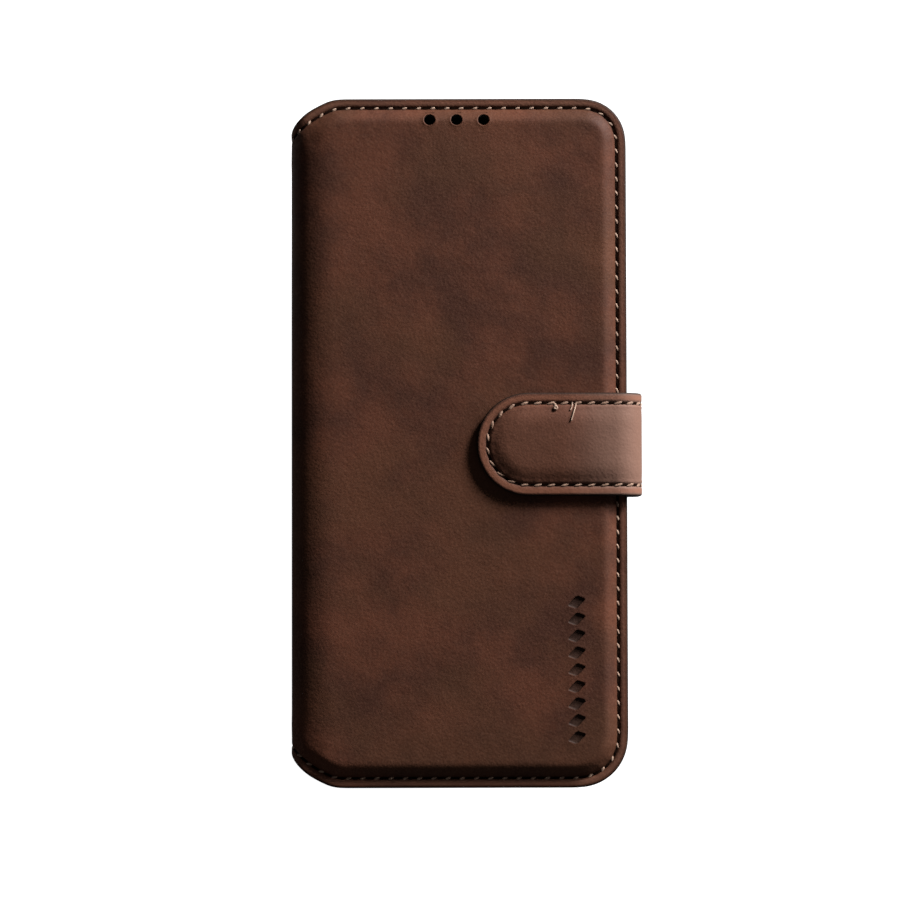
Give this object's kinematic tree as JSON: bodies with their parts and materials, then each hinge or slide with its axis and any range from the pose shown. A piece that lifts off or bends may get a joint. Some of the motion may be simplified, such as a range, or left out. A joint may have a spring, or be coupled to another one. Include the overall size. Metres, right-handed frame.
{
  "type": "phone wallet case",
  "caption": "Book-style wallet case for a phone, with a padded stitched front cover, folding spine, moulded phone shell, card pockets and a magnetic wrap-round strap.",
  "frame": {"origin": "under the middle of the closed case's outline, strap included, on the surface it lies on", "axes": "+Z out of the front cover, +Y towards the top end of the phone, +X from the spine towards the strap"},
  "size_m": [0.086, 0.1686, 0.0215],
  "materials": {
    "leather": "matte grained, mottled brown",
    "lining": "fine smooth brown",
    "thread": "twisted tan thread",
    "board": "raw board",
    "foam": "soft foam",
    "shell": "satin moulded",
    "adhesive": "adhesive sheet",
    "steel": "plated"
  },
  "bodies": {
    "back_half": {"back_leather": "leather", "back_board": "board", "back_lining": "lining", "back_thread": "thread", "camera_window_thread": "thread", "shell_adhesive_pad": "adhesive", "phone_shell": "shell", "strap_root_tab": "leather", "strap_root_thread": "thread"},
    "spine": {"spine_leather": "leather", "spine_stiffener": "board", "spine_lining": "lining", "spine_top_thread": "thread", "spine_bottom_thread": "thread"},
    "front_cover": {"front_leather": "leather", "front_foam": "foam", "front_board": "board", "front_lining": "lining", "bill_pocket_panel": "lining", "card_pocket_1": "lining", "card_pocket_2": "lining", "card_pocket_thread": "thread", "front_thread": "thread", "closure_keeper": "steel"},
    "strap_side": {"strap_side_leather": "leather", "strap_side_lining": "lining", "strap_side_upper_thread": "thread", "strap_side_lower_thread": "thread"},
    "strap_tongue": {"strap_tongue_leather": "leather", "strap_tongue_lining": "lining", "strap_filler": "foam", "strap_magnet": "steel", "strap_tongue_thread": "thread"},
    "power_button": {"power_button_pad": "shell"},
    "volume_button": {"volume_button_pad": "shell"}
  },
  "joints": [
    {"name": "spine_back_fold", "type": "hinge", "parent": "back_half", "child": "spine", "pos_m": [-0.04166, 0, 0.00132], "axis": [0, -1, 0], "range_deg": [0, 180]},
    {"name": "spine_front_fold", "type": "hinge", "parent": "spine", "child": "front_cover", "pos_m": [-0.0418, 0, 0.01528], "axis": [0, -1, 0], "range_deg": [0, 180]},
    {"name": "strap_root_fold", "type": "hinge", "parent": "back_half", "child": "strap_side", "pos_m": [0.04204, 0, 0.00199], "axis": [0, 1, 0], "range_deg": [0, 180]},
    {"name": "strap_tip_fold", "type": "hinge", "parent": "strap_side", "child": "strap_tongue", "pos_m": [0.04107, 0, 0.01835], "axis": [0, 1, 0], "range_deg": [0, 90]},
    {"name": "power_button_press", "type": "slide", "parent": "back_half", "child": "power_button", "axis": [-1, 0, 0], "range_m": [0, 0.0004], "stiffness_N_per_m": 600},
    {"name": "volume_button_press", "type": "slide", "parent": "back_half", "child": "volume_button", "axis": [-1, 0, 0], "range_m": [0, 0.0004], "stiffness_N_per_m": 600}
  ]
}
